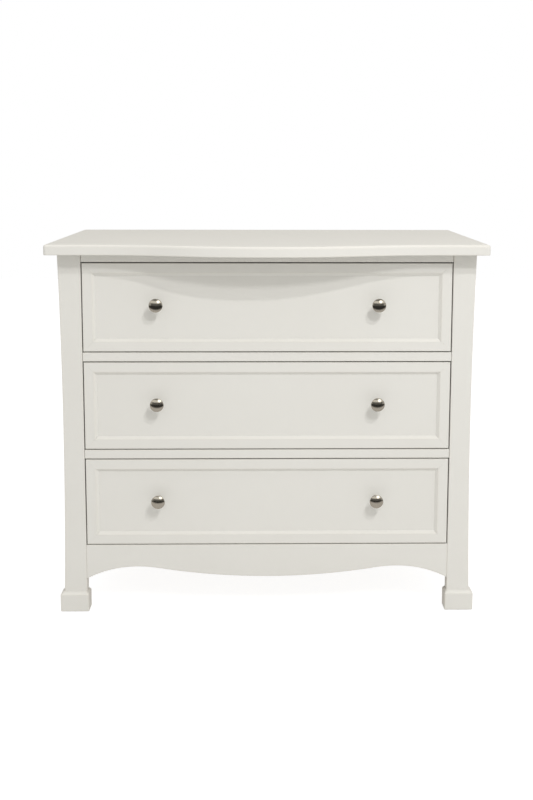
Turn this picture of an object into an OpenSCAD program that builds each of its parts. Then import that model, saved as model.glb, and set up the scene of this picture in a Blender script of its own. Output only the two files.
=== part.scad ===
// Bow-fronted chest of three drawers: a painted case on block feet, with a curved top,
// mitred-frame drawer fronts, dome knobs and side-mounted telescopic slides.
// Origin: centre of the footprint, on the floor. +X is the width, the front faces -Y, +Z is up.

/* [Overall] */
// Width across the top panel
top_width = 970; // [900:1:1100]
// Depth from the back of the top to the crest of its bow
overall_depth = 516; // [490:1:580]
// Height from the floor to the upper face of the top
overall_height = 850; // [840:1:900]

/* [Top panel] */
// Thickness of the top panel
top_thickness = 23; // [18:1:30]
// How far the bow stands out beyond the straight ends of the front edge
bow_depth = 51; // [40:1:60]
// Radius of the middle of the bow
bow_radius = 800; // [760:10:900]
// Distance from the centre line to where the bow turns outwards
bow_turn_x = 214; // [205:1:222]
// Overhang of the straight ends in front of the posts
front_overhang = 45; // [30:1:50]
// Overhang at the back
rear_overhang = 3; // [0:1:8]

/* [Case] */
// Width of the drawer openings between the posts
opening_width = 827; // [780:1:860]
// Height of each drawer opening
opening_height = 203.3; // [196:0.1:206]
// Height of the rails between the drawers
middle_rail_height = 20.2; // [16:0.1:24]
// Thickness of the posts and of the feet's upper end, front to back
post_thickness = 22; // [18:1:26]
// Width of a post's face at its top
post_width = 51.5; // [46:0.5:56]
// How far the outer edge of a post hollows in at mid-height
post_hollow = 5.5; // [2:0.5:7]
// Thickness of the side panels
side_thickness = 15; // [12:1:18]
// Depth of the front rails, front to back
rail_depth = 60; // [40:1:80]

/* [Apron and feet] */
// Thickness of the apron
apron_thickness = 18; // [15:1:22]
// Height of the apron's lower edge at the centre
apron_low = 81.6; // [75:0.1:90]
// Height of a foot block, with its chamfer
foot_height = 48; // [40:1:56]
// Width of a foot block
foot_width = 65; // [60:1:70]
// Depth of a foot block
foot_depth = 34; // [30:1:40]

/* [Drawers] */
// Gap all round each drawer front
reveal = 2.5; // [2:0.5:4]
// Thickness of the drawer fronts
front_thickness = 19; // [17:0.5:22]
// Flat width of the mitred frame
frame_flat = 22; // [20:1:26]
// Width of the slope inside the frame
frame_slope = 6.5; // [5:0.5:8]
// Depth of the field below the frame
field_recess = 5.5; // [4:0.5:7]
// Height of the drawer boxes
box_height = 150; // [120:1:160]
// Length of the drawer boxes and of their slides
box_length = 350; // [300:50:350]
// Thickness of the drawer box's sides, front and back
box_wall = 12; // [10:1:15]

/* [Knobs] */
// Diameter of a knob's dome
knob_diameter = 31; // [26:1:34]
// Height of a knob above the field of the drawer front
knob_height = 35; // [32:1:37]
// Distance of each knob from the centre line
knob_x = 246; // [200:1:300]
// Height of the knobs above the middle of a drawer front
knob_lift = 8; // [0:1:12]

/* [Hidden] */
ROWS = ["upper", "middle", "lower"];
SIDES = ["left", "right"];
CASE_NODES = [
    "top_panel", "front_post_left", "front_post_right", "rear_post_left", "rear_post_right",
    "front_foot_left", "front_foot_right", "rear_foot_left", "rear_foot_right",
    "floor_glides", "side_panel_left", "side_panel_right", "top_rail",
    "upper_middle_rail", "lower_middle_rail", "apron", "rear_top_rail", "rear_bottom_rail",
    "back_panel", "corner_blocks", "slide_battens", "slide_outer_members", "top_screws",
    "rail_dowels"];
DRAWER_NODES = [
    "front_panel", "front_rails", "front_stiles", "box_sides", "box_front", "box_back",
    "box_bottom", "knob_left", "knob_right", "knob_screws", "slide_inner_members",
    "slide_middle_members"];

$fn = 64;
paint = [0.90, 0.90, 0.87];
pale_wood = [0.84, 0.74, 0.58];
steel = [0.70, 0.71, 0.73];
nickel = [0.78, 0.77, 0.75];

// Depth planes, from the front to the back
bow_y = -overall_depth / 2;
top_end_y = bow_y + bow_depth;
front_y = top_end_y + front_overhang;
post_back_y = front_y + post_thickness;
field_y = front_y + field_recess;
box_y = front_y + front_thickness;
case_back_y = overall_depth / 2 - rear_overhang;
rear_post_y = case_back_y - post_thickness;

// Widths, from the centre line out
opening_x = opening_width / 2;
post_outer_x = opening_x + post_width;
side_inner_x = opening_x + post_width - 10 - side_thickness;
slide_space = 12.7;
box_x = opening_x - slide_space;
foot_inner_x = opening_x - 5;
foot_middle_x = foot_inner_x + foot_width / 2;

// Heights, from the floor up
glide_height = 2;
glide_radius = 12;
case_top_z = overall_height - top_thickness;
top_rail_height = 19.3;
row_step = opening_height + middle_rail_height;
function row_z(row) = case_top_z - top_rail_height - opening_height - row * row_step;
apron_top_z = row_z(2);
box_lift = 14;

// Drawer fronts
front_x = opening_x - reveal;
front_h = opening_height - 2 * reveal;
frame_width = frame_flat + frame_slope;
panel_lap = 10;
panel_inset = frame_width - panel_lap;
front_ease = 1.2;
groove_depth = 6;
bottom_thickness = 5;
bottom_lift = 10;

// Slides: half-height, length of metal and gaps of the three telescoping members
slide_half = 22.5;
slide_metal = 1.2;
ball = 3;
batten_height = 60;
batten_back_y = box_y + box_length + 20;

// Fasteners
knob_bore = 2.05;
screw_radius = 2;
screw_clear = 2.25;
dowel_radius = 4;
dowel_length = 30;
back_thickness = 3;
back_rebate = 10;
rear_rail_thickness = 18;
rear_rail_height = 40;
rear_bottom_z = 120;

// Points of a circular arc about [cx, cy], from angle a to angle b, both included
function arc(cx, cy, r, a, b, steps) =
    [for (i = [0:steps]) let (t = a + (b - a) * i / steps) [cx + r * cos(t), cy + r * sin(t)]];
function mirrored(points) = [for (i = [len(points) - 1:-1:0]) [-points[i][0], points[i][1]]];

// The bow: an outward arc in the middle, and a hollow arc each side that runs out level
bow_turn_angle = asin(bow_turn_x / bow_radius);
bow_middle_drop = bow_radius * (1 - cos(bow_turn_angle));
hollow_radius = (bow_depth - bow_middle_drop) / (1 - cos(bow_turn_angle));
hollow_end_x = bow_turn_x + hollow_radius * sin(bow_turn_angle);
bow_right = concat(
    arc(0, bow_y + bow_radius, bow_radius, -90, -90 + bow_turn_angle, 12),
    arc(hollow_end_x, top_end_y - hollow_radius, hollow_radius, 90 + bow_turn_angle, 90, 12));

module mirror_if(side) {
    if (side == "left") mirror([1, 0, 0]) children();
    else children();
}

// A block given by its lowest and highest corners
module block(low, high) {
    translate(low) cube(high - low);
}

// Lays a profile drawn in X and Z along Y, from y0 to y1
module along_y(y0, y1) {
    translate([0, y1, 0]) rotate([90, 0, 0]) linear_extrude(y1 - y0) children();
}

// Lays a profile drawn in Y and Z along X, from x0 to x1
module along_x(x0, x1) {
    translate([x0, 0, 0]) rotate([90, 0, 90]) linear_extrude(x1 - x0) children();
}

module rod_x(x0, x1, y, z, r) {
    translate([x0, y, z]) rotate([0, 90, 0]) cylinder(r = r, h = x1 - x0);
}

module rod_y(y0, y1, x, z, r) {
    translate([x, y1, z]) rotate([90, 0, 0]) cylinder(r = r, h = y1 - y0);
}

// ---- Case ----

top_screw_x = [-300, 0, 300];
top_screw_bite = 15;
front_screw_y = front_y + 40;
rear_screw_y = rear_post_y + 10;

module each_top_screw() {
    for (x = top_screw_x, y = [front_screw_y, rear_screw_y]) translate([x, y, 0]) children();
}

module top_panel() {
    color(paint)
    difference() {
        translate([0, 0, case_top_z]) linear_extrude(top_thickness) polygon(concat(
            [[-top_width / 2, overall_depth / 2], [-top_width / 2, top_end_y]],
            mirrored(bow_right),
            [for (i = [1:len(bow_right) - 1]) bow_right[i]],
            [[top_width / 2, top_end_y], [top_width / 2, overall_depth / 2]]));
        each_top_screw() translate([0, 0, case_top_z - 1])
            cylinder(r = screw_radius + 0.05, h = top_screw_bite + 1);
    }
}

// Outer edge of a post: one long shallow hollow between the top and the foot
post_chord = case_top_z - foot_height;
post_arc_radius = (pow(post_chord / 2, 2) + pow(post_hollow, 2)) / (2 * post_hollow);
post_arc_angle = asin(post_chord / 2 / post_arc_radius);
post_edge = arc(post_outer_x - post_hollow + post_arc_radius, foot_height + post_chord / 2,
    post_arc_radius, 180 + post_arc_angle, 180 - post_arc_angle, 16);

// Dowel joints: [y, z] of each pair of dowels, one at either end of a rail
dowel_joints = concat(
    [for (z = [case_top_z - 9, row_z(0) - middle_rail_height / 2, row_z(1) - middle_rail_height / 2,
        apron_top_z - 15, apron_top_z - 45]) [front_y + 9, z]],
    [for (z = [case_top_z - 10, case_top_z - 30, rear_bottom_z + 10, rear_bottom_z + 30])
        [rear_post_y + 10, z]]);

module dowels(r) {
    for (joint = dowel_joints) for (s = [-1, 1])
        rod_x(s * opening_x - dowel_length / 2, s * opening_x + dowel_length / 2,
            joint[0], joint[1], r);
}

module post_blank(y0) {
    along_y(y0, y0 + post_thickness) polygon(concat(
        [[opening_x, case_top_z], [opening_x, foot_height]], post_edge));
}

module front_post(side) {
    color(paint)
    difference() {
        mirror_if(side) post_blank(front_y);
        dowels(dowel_radius + 0.05);
    }
}

module rear_post(side) {
    color(paint)
    difference() {
        mirror_if(side) difference() {
            post_blank(rear_post_y);
            block([opening_x - 1, case_back_y - back_thickness, rear_bottom_z],
                [opening_x + back_rebate, case_back_y + 1, case_top_z + 1]);
        }
        dowels(dowel_radius + 0.05);
    }
}

// A block foot: wider than its post all round, with a sloping shoulder up to it
module foot(side, y0, y1, shoulder_y0, shoulder_y1) {
    shoulder_z = foot_height - 6;
    foot_outer_x = foot_inner_x + foot_width;
    color(paint)
    mirror_if(side) difference() {
        intersection() {
            along_y(y0, y1) polygon([
                [foot_inner_x, glide_height], [foot_outer_x, glide_height],
                [foot_outer_x, shoulder_z], [post_outer_x + 1, foot_height],
                [opening_x, foot_height], [foot_inner_x, shoulder_z]]);
            along_x(foot_inner_x, foot_outer_x) polygon([
                [y0, glide_height], [y1, glide_height], [y1, shoulder_z],
                [shoulder_y1, foot_height], [shoulder_y0, foot_height], [y0, shoulder_z]]);
        }
        translate([foot_middle_x, (y0 + y1) / 2, glide_height - 1])
            cylinder(r = glide_pin_radius + 0.05, h = glide_pin_length + 1);
    }
}

front_foot_y0 = front_y - 8;
front_foot_y1 = front_foot_y0 + foot_depth;
rear_foot_y0 = case_back_y - foot_depth + 8;
glide_pin_radius = 1.6;
glide_pin_length = 14;

module front_foot(side) {
    foot(side, front_foot_y0, front_foot_y1, front_y, post_back_y);
}

module rear_foot(side) {
    foot(side, rear_foot_y0, case_back_y, rear_post_y, case_back_y);
}

module floor_glides() {
    color("gainsboro")
    for (s = [-1, 1], y = [(front_foot_y0 + front_foot_y1) / 2, (rear_foot_y0 + case_back_y) / 2])
        translate([s * foot_middle_x, y, 0]) {
            cylinder(r = glide_radius, h = glide_height);
            cylinder(r = glide_pin_radius, h = glide_height + glide_pin_length);
        }
}

// Side panel: its lower edge is a shallow arch between the feet
module side_panel(side) {
    edge_z = 82;
    arch_rise = 24;
    half_span = (rear_post_y - post_back_y) / 2;
    arch_radius = (pow(half_span, 2) + pow(arch_rise, 2)) / (2 * arch_rise);
    arch_angle = asin(half_span / arch_radius);
    color(paint)
    mirror_if(side) along_x(side_inner_x, side_inner_x + side_thickness) polygon(concat(
        [[rear_post_y, case_top_z], [post_back_y, case_top_z]],
        arc(post_back_y + half_span, edge_z + arch_rise - arch_radius, arch_radius,
            90 + arch_angle, 90 - arch_angle, 20)));
}

module rail(y0, y1, z0, z1) {
    color(paint)
    difference() {
        block([-opening_x, y0, z0], [opening_x, y1, z1]);
        dowels(dowel_radius + 0.05);
    }
}

module top_rail() {
    color(paint)
    difference() {
        rail(front_y, front_y + rail_depth, case_top_z - top_rail_height, case_top_z);
        each_top_screw() translate([0, 0, case_top_z - 2 * top_rail_height])
            cylinder(r = screw_clear, h = 3 * top_rail_height);
    }
}

module middle_rail(row) {
    rail(front_y, front_y + rail_depth, row_z(row) - middle_rail_height, row_z(row));
}

// Apron: its lower edge dips in the middle, peaks near each end and falls to the posts
apron_middle_radius = 1550;
apron_turn_x = 248;
apron_peak_radius = 317;
apron_end_radius = 245;
apron_turn_angle = asin(apron_turn_x / apron_middle_radius);
apron_peak_x = apron_turn_x + apron_peak_radius * sin(apron_turn_angle);
apron_peak_z = apron_low + (apron_middle_radius + apron_peak_radius) * (1 - cos(apron_turn_angle));
apron_end_angle = asin((opening_x - apron_peak_x) / apron_end_radius);
apron_right = concat(
    arc(0, apron_low + apron_middle_radius, apron_middle_radius, -90, -90 + apron_turn_angle, 10),
    arc(apron_peak_x, apron_peak_z - apron_peak_radius, apron_peak_radius,
        90 + apron_turn_angle, 90, 6),
    arc(apron_peak_x, apron_peak_z - apron_end_radius, apron_end_radius,
        90, 90 - apron_end_angle, 10));

module apron() {
    color(paint)
    difference() {
        along_y(front_y, front_y + apron_thickness) polygon(concat(
            [[-opening_x, apron_top_z]],
            mirrored(apron_right),
            [for (i = [1:len(apron_right) - 1]) apron_right[i]],
            [[opening_x, apron_top_z]]));
        dowels(dowel_radius + 0.05);
    }
}

module rear_top_rail() {
    rail_y1 = case_back_y - back_thickness;
    color(pale_wood)
    difference() {
        rail(rail_y1 - rear_rail_thickness, rail_y1, case_top_z - rear_rail_height, case_top_z);
        each_top_screw() translate([0, 0, case_top_z - 2 * rear_rail_height])
            cylinder(r = screw_clear, h = 3 * rear_rail_height);
    }
}

module rear_bottom_rail() {
    rail_y1 = case_back_y - back_thickness;
    rail(rail_y1 - rear_rail_thickness, rail_y1, rear_bottom_z, rear_bottom_z + rear_rail_height);
}

module back_panel() {
    color(pale_wood)
    block([-opening_x - back_rebate, case_back_y - back_thickness, rear_bottom_z],
        [opening_x + back_rebate, case_back_y, case_top_z]);
}

// Glue blocks in the four lower corners, behind the posts
module corner_blocks() {
    block_z0 = 112;
    block_z1 = 150;
    reach = 50;
    front_outline = [
        [opening_x - 30, front_y + apron_thickness], [opening_x, front_y + apron_thickness],
        [opening_x, post_back_y], [side_inner_x, post_back_y],
        [side_inner_x, post_back_y + reach]];
    rear_rail_y = case_back_y - back_thickness - rear_rail_thickness;
    rear_outline = [
        [opening_x - 30, rear_rail_y], [opening_x, rear_rail_y],
        [opening_x, rear_post_y], [side_inner_x, rear_post_y],
        [side_inner_x, rear_post_y - reach]];
    color(pale_wood)
    for (side = SIDES, outline = [front_outline, rear_outline])
        mirror_if(side) translate([0, 0, block_z0]) linear_extrude(block_z1 - block_z0)
            polygon(outline);
}

// Strips that pack the side panels out to the line of the openings, for the slides
function slide_z(row) = row_z(row) + box_lift + box_height / 2;

module slide_battens() {
    color(pale_wood)
    for (side = SIDES, row = [0:2])
        mirror_if(side) block(
            [opening_x, post_back_y, slide_z(row) - batten_height / 2],
            [side_inner_x, batten_back_y, slide_z(row) + batten_height / 2]);
}

// Screw with a round head below, point up, its head's upper face at z
module screw(z, shank) {
    translate([0, 0, z]) cylinder(r = screw_radius, h = shank);
    translate([0, 0, z - 2.4]) cylinder(r = 4, h = 2.4);
}

module top_screws() {
    color(steel)
    for (x = top_screw_x) {
        translate([x, front_screw_y, 0]) screw(case_top_z - top_rail_height,
            top_rail_height + top_screw_bite - 1);
        translate([x, rear_screw_y, 0]) screw(case_top_z - rear_rail_height,
            rear_rail_height + top_screw_bite - 1);
    }
}

module rail_dowels() {
    color(pale_wood)
    dowels(dowel_radius);
}

// ---- Slides ----
// Each member is a channel, open towards the next one, with room for the balls between them.

module channel(web_x, lip_x, half, row) {
    low_x = min(web_x, lip_x);
    high_x = max(web_x, lip_x);
    web_edge = web_x < lip_x ? web_x + slide_metal : web_x - slide_metal;
    color(steel)
    for (side = SIDES) mirror_if(side)
        translate([0, 0, slide_z(row)]) difference() {
            block([low_x, box_y + 2, -half], [high_x, box_y + box_length, half]);
            block([min(web_edge, lip_x) - (web_x < lip_x ? 0 : 1), box_y, -half + slide_metal],
                [max(web_edge, lip_x) + (web_x < lip_x ? 1 : 0), box_y + box_length + 1,
                    half - slide_metal]);
        }
}

middle_half = slide_half - slide_metal - ball;
inner_half = middle_half - slide_metal - ball;

module slide_outer_members() {
    for (row = [0:2]) channel(opening_x, opening_x - 9.5, slide_half, row);
}

module slide_middle_members(row) {
    channel(opening_x - 2.4, opening_x - 10, middle_half, row);
}

module slide_inner_members(row) {
    channel(box_x, box_x + 7, inner_half, row);
}

// ---- Drawers ----

function front_z(row) = row_z(row) + reveal;
function knob_z(row) = front_z(row) + front_h / 2 + knob_lift;

module each_knob(row) {
    for (s = [-1, 1]) translate([s * knob_x, 0, knob_z(row)]) children();
}

module front_panel(row) {
    color(paint)
    difference() {
        block([-front_x + panel_inset, field_y, front_z(row) + panel_inset],
            [front_x - panel_inset, box_y, front_z(row) + front_h - panel_inset]);
        each_knob(row) rod_y(field_y - 1, box_y + 1, 0, 0, screw_clear);
    }
}

// Cross-section of the mitred frame: from its outer edge inwards, and from the face back.
// The face is flat with an eased outer arris, then slopes to the field, over a rebate.
frame_section = [
    [0, front_ease], [front_ease, 0], [frame_flat, 0], [frame_width, field_recess],
    [panel_inset, field_recess], [panel_inset, front_thickness], [0, front_thickness]];

// Upper and lower members of the frame, cut at 45 degrees at the corners
module front_rails(row) {
    color(paint)
    for (up = [0, 1])
        translate([0, 0, front_z(row) + front_h / 2]) mirror([0, 0, up])
        intersection() {
            along_x(-front_x, front_x) polygon([for (p = frame_section)
                [front_y + p[1], p[0] - front_h / 2]]);
            along_y(front_y, box_y) polygon([
                [-front_x, -front_h / 2], [front_x, -front_h / 2],
                [front_x - frame_width, -front_h / 2 + frame_width],
                [-front_x + frame_width, -front_h / 2 + frame_width]]);
        }
}

// Side members of the frame, cut to match
module front_stiles(row) {
    color(paint)
    for (side = SIDES)
        mirror_if(side) translate([0, 0, front_z(row)])
        intersection() {
            linear_extrude(front_h) polygon([for (p = frame_section)
                [front_x - p[0], front_y + p[1]]]);
            along_y(front_y, box_y) polygon([
                [front_x, 0], [front_x, front_h],
                [front_x - frame_width, front_h - frame_width],
                [front_x - frame_width, frame_width]]);
        }
}

function box_z(row) = row_z(row) + box_lift;

// The bottom is let into a groove in all four walls of the box
module bottom_blank(row) {
    block([-box_x + box_wall - groove_depth, box_y + box_wall - groove_depth,
            box_z(row) + bottom_lift],
        [box_x - box_wall + groove_depth, box_y + box_length - box_wall + groove_depth,
            box_z(row) + bottom_lift + bottom_thickness]);
}

module box_sides(row) {
    color(pale_wood)
    difference() {
        for (side = SIDES) mirror_if(side)
            block([box_x - box_wall, box_y, box_z(row)],
                [box_x, box_y + box_length, box_z(row) + box_height]);
        bottom_blank(row);
    }
}

module box_front(row) {
    color(pale_wood)
    difference() {
        block([-box_x + box_wall, box_y, box_z(row)],
            [box_x - box_wall, box_y + box_wall, box_z(row) + box_height]);
        bottom_blank(row);
        each_knob(row) rod_y(box_y - 1, box_y + box_wall + 1, 0, 0, screw_clear);
    }
}

module box_back(row) {
    color(pale_wood)
    difference() {
        block([-box_x + box_wall, box_y + box_length - box_wall, box_z(row)],
            [box_x - box_wall, box_y + box_length, box_z(row) + box_height]);
        bottom_blank(row);
    }
}

module box_bottom(row) {
    color(pale_wood)
    bottom_blank(row);
}

// Knob: a slim stem with a shallow waist and a domed cap, bored for its screw
knob_r = knob_diameter / 2;
knob_rim_h = knob_height - 5.5;
knob_bore_depth = 12;
dome_rise = knob_height - knob_rim_h - 1.5;
dome_radius = (pow(knob_r - 1, 2) + pow(dome_rise, 2)) / (2 * dome_rise);
dome_angle = asin((knob_r - 1) / dome_radius);
stem_r = 5.4;
waist_r = 4.4;
waist_z = 10;
waist_arc = 31;
waist_angle = acos((waist_arc + waist_r - stem_r + 0.2) / waist_arc);
knob_profile = concat(
    [[knob_bore, 0], [stem_r, 0], [stem_r, 1.5]],
    arc(waist_arc + waist_r, waist_z, waist_arc, 180 + waist_angle, 180 - waist_angle, 12),
    [[6.6, knob_rim_h - 8], [9.6, knob_rim_h - 4], [knob_r - 1.4, knob_rim_h - 2]],
    arc(knob_r - 1.5, knob_rim_h, 1.5, -60, 60, 6),
    [for (i = [1:14]) let (t = dome_angle * (1 - i / 14))
        [dome_radius * sin(t), knob_height - dome_radius * (1 - cos(t))]],
    [[0, knob_bore_depth], [knob_bore, knob_bore_depth]]);

module knob(side, row) {
    color(nickel)
    mirror_if(side) translate([knob_x, field_y, knob_z(row)]) rotate([90, 0, 0])
        rotate_extrude($fn = 96) polygon(knob_profile);
}

module knob_screws(row) {
    head_y = box_y + box_wall;
    color(steel)
    each_knob(row) {
        rod_y(field_y - knob_bore_depth + 1, head_y, 0, 0, screw_radius);
        rod_y(head_y, head_y + 2.4, 0, 0, 4.5);
    }
}

// ---- What is drawn ----

top_panel();
for (side = SIDES) {
    front_post(side);
    rear_post(side);
    front_foot(side);
    rear_foot(side);
    side_panel(side);
}
floor_glides();
top_rail();
middle_rail(0);  // upper_middle_rail
middle_rail(1);  // lower_middle_rail
apron();
rear_top_rail();
rear_bottom_rail();
back_panel();
corner_blocks();
slide_battens();
slide_outer_members();
top_screws();
rail_dowels();
for (row = [0:2]) {
    front_panel(row);
    front_rails(row);
    front_stiles(row);
    box_sides(row);
    box_front(row);
    box_back(row);
    box_bottom(row);
    knob("left", row);
    knob("right", row);
    knob_screws(row);
    slide_inner_members(row);
    slide_middle_members(row);
}
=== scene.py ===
# %% [markdown]
# # A bow-fronted chest of drawers, dressed in satin paint
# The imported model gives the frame: every board, drawer and slide at its real size, in metres.
# This notebook lays the looks over it. The painted joinery is rebuilt with softened arrises,
# because it is the light on those narrow roundings that makes painted wood read as paint.
# The parts that are right as they are keep their shape and only get a finish.

# %% Load the frame
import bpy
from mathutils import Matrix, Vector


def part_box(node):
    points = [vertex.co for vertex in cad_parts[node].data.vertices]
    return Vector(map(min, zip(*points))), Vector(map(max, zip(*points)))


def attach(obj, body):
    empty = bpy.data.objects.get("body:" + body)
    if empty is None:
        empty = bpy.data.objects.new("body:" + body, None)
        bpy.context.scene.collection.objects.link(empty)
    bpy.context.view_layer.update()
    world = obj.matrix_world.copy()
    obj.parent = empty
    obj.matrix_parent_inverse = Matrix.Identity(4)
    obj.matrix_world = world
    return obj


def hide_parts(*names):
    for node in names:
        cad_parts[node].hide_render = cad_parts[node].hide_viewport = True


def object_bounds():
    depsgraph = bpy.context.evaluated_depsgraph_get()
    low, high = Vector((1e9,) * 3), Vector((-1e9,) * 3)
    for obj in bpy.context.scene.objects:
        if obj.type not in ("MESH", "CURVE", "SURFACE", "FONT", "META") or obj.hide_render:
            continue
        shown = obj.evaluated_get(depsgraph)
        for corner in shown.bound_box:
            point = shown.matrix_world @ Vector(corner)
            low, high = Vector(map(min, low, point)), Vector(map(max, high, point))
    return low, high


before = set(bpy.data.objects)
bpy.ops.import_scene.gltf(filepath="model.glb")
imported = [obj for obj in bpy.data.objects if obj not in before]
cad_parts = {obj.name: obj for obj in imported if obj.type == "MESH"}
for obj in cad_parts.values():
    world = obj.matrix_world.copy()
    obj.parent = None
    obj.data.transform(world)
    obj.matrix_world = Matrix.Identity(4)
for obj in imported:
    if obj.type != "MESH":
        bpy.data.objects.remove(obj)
cad_low, cad_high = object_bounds()

# %% Modules and units
import math
import bpy
import numpy as np
from mathutils import Matrix, Vector

MM = 0.001
ROWS = ("upper", "middle", "lower")
SIDES = {"left": -1.0, "right": 1.0}

# %% [markdown]
# ## The camera
# It stands a little left of the middle and above the top, and looks almost straight ahead.
# A lens shift brings the chest into the upright frame without tilting the camera further,
# so the posts keep nearly upright lines, as they do in a furniture photographer's view camera.

# %% Camera
camera_place = Vector((-0.0067, -2.2113, 1.0259))
camera_heading = 0.819     # degrees to the right of straight ahead
camera_tilt = 6.406        # degrees below level
camera_roll = 0.120        # degrees anticlockwise
camera_data = bpy.data.cameras.new("camera")
camera_data.lens = 41.905
camera_data.sensor_width = 36.0
camera_data.shift_x = -0.0141
camera_data.shift_y = -0.16554
camera_data.clip_start = 0.05
camera = bpy.data.objects.new("camera", camera_data)
bpy.context.scene.collection.objects.link(camera)
camera.matrix_world = (
    Matrix.Translation(camera_place)
    @ Matrix.Rotation(math.radians(-camera_heading), 4, "Z")
    @ Matrix.Rotation(math.radians(90 - camera_tilt), 4, "X")
    @ Matrix.Rotation(math.radians(camera_roll), 4, "Z"))
bpy.context.scene.camera = camera
print("camera at", tuple(round(v, 3) for v in camera_place))

# %% [markdown]
# ## A mesh from an array
# Every new piece is a stack of closed rings: ring after ring of points, all with the same
# count, joined by quads and closed by a flat face at each end. One helper turns such a stack
# into a mesh. Each point also carries a number called *arris*, 1 on a rounded edge and 0 on
# the flats, which the paint uses to know where it wears thin.


# %% Rings into a mesh
def ring_faces(rings, around):
    """Quads between neighbouring rings: point k of ring i joins k + 1 of the same ring, and
    both join their partners on ring i + 1; the last point joins the first."""
    i, k = np.meshgrid(np.arange(rings - 1), np.arange(around), indexing="ij")
    n = (k + 1) % around
    here, beyond = i * around, (i + 1) * around
    return np.stack([here + k, here + n, beyond + n, beyond + k], -1).reshape(-1, 4)


def mesh_piece(name, stacks, material):
    """One object from a list of (points, arris) stacks. points is (rings, around, 3), and
    arris is (rings, around). A stack whose rings run clockwise is turned over, by the sign of
    the volume that its faces enclose."""
    vertices, faces, arris = [], [], []
    for points, edge in stacks:
        rings, around = points.shape[:2]
        flat = points.reshape(-1, 3)
        quads = ring_faces(rings, around)
        a, b, c, d = (flat[quads[:, j]] for j in range(4))
        middle = flat.mean(0)
        volume = ((np.cross(b - a, c - a) + np.cross(c - a, d - a)) * (a - middle)).sum()
        start_cap = list(range(around))[::-1]
        end_cap = list(range((rings - 1) * around, rings * around))
        if volume < 0:
            quads, start_cap, end_cap = quads[:, ::-1], start_cap[::-1], end_cap[::-1]
        base = sum(len(v) for v in vertices)
        vertices.append(flat)
        arris.append(edge.reshape(-1))
        faces += (quads + base).tolist()
        faces += [[base + k for k in start_cap], [base + k for k in end_cap]]
    mesh = bpy.data.meshes.new(name)
    mesh.from_pydata(np.concatenate(vertices).tolist(), [], faces)
    layer = mesh.attributes.new("arris", "FLOAT", "POINT")
    layer.data.foreach_set("value", np.concatenate(arris).astype(np.float32))
    mesh.polygons.foreach_set("use_smooth", np.ones(len(mesh.polygons), bool))
    mesh.validate()
    mesh.materials.append(material)
    piece = bpy.data.objects.new(name, mesh)
    bpy.context.scene.collection.objects.link(piece)
    even = piece.modifiers.new("flats stay flat", "WEIGHTED_NORMAL")
    even.mode = "FACE_AREA"
    even.weight = 100
    return piece


# %% [markdown]
# ## A board with eased edges
# Planed and sanded boards have no sharp edges: a maker eases each arris by about a
# millimetre before painting. The section is a rectangle with a quarter circle at each corner.
# It is carried along the board, and near both ends it shrinks on the same quarter circle, so
# that all twelve edges are eased alike.


# %% Section of a board, and the board itself
EASE_STEPS = 4
BESIDE = 3 * MM            # how far beside an arris its worn paint has faded out


def section(half_a, half_b, ease, inset=0.0):
    """Closed outline of a rectangle centred on zero, (around, 2): each corner is a quarter
    circle of radius ease about the point that lies ease inside both sides, plus one point
    BESIDE the arc on either side. The whole outline is inset by the last value."""
    turn = np.linspace(0, math.pi / 2, EASE_STEPS + 1)
    corner, mark = [], []
    for quarter, (sa, sb) in enumerate(((1, 1), (-1, 1), (-1, -1), (1, -1))):
        angle = turn + quarter * math.pi / 2
        arc = np.stack([sa * (half_a - ease) + (ease - inset) * np.cos(angle),
                        sb * (half_b - ease) + (ease - inset) * np.sin(angle)], -1)
        if inset > ease:
            arc = np.stack([np.full_like(angle, sa * (half_a - inset)),
                            np.full_like(angle, sb * (half_b - inset))], -1)
        first, last = arc[0].copy(), arc[-1].copy()
        first[1 if quarter % 2 == 0 else 0] -= BESIDE * (sb if quarter % 2 == 0 else sa)
        last[0 if quarter % 2 == 0 else 1] -= BESIDE * (sa if quarter % 2 == 0 else sb)
        corner.append(np.concatenate([[first], arc, [last]]))
        mark.append([0.0] + [1.0] * (EASE_STEPS + 1) + [0.0])
    return np.concatenate(corner), np.concatenate(mark)


def board(low, high, ease=1.2 * MM, along=None, stations=2):
    """Stack of rings for a board between two corners. along is the axis that it runs along,
    its longest by default. At distance d from an end, for d below ease, the section is inset
    by ease - sqrt(ease^2 - (ease - d)^2), the quarter circle again."""
    low, high = np.array(low, float), np.array(high, float)
    size, middle = high - low, (low + high) / 2
    along = int(np.argmax(size)) if along is None else along
    a, b = (along + 1) % 3, (along + 2) % 3
    turn = np.linspace(0, math.pi / 2, EASE_STEPS + 1)
    near = [(ease * (1 - math.sin(t)), ease * (1 - math.cos(t))) for t in turn[::-1]]
    near = [(0.0, ease + BESIDE)] + near + [(ease + BESIDE, 0.0)]
    between = np.linspace(ease + BESIDE, size[along] - ease - BESIDE, stations)
    span = [(distance, 0.0) for distance in between[1:-1]]
    far = [(size[along] - d, inset) for d, inset in near[::-1]]
    points, arris = [], []
    for distance, inset in near + span + far:
        outline, mark = section(size[a] / 2, size[b] / 2, ease, inset)
        ring = np.empty((len(outline), 3))
        ring[:, along] = low[along] + distance
        ring[:, a] = middle[a] + outline[:, 0]
        ring[:, b] = middle[b] + outline[:, 1]
        at_end = min(distance, size[along] - distance) < ease + BESIDE / 2 and inset <= ease
        points.append(ring)
        arris.append(np.ones(len(mark)) if at_end else mark * (inset <= ease))
    return np.array(points), np.array(arris)


print("a board's ring has", len(section(0.01, 0.02, 0.001)[0]), "points")

# %% [markdown]
# ## Finishes as node groups
# Several finishes share the same small effects: the faint unevenness of a sprayed film, the
# grain of planed wood, the scuffs on metal. Each effect is a group that puts out a mask or a
# height, and each material decides what to do with it. All of them read object coordinates,
# which are metres here, so a scale of 500 means features of about two millimetres.


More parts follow.
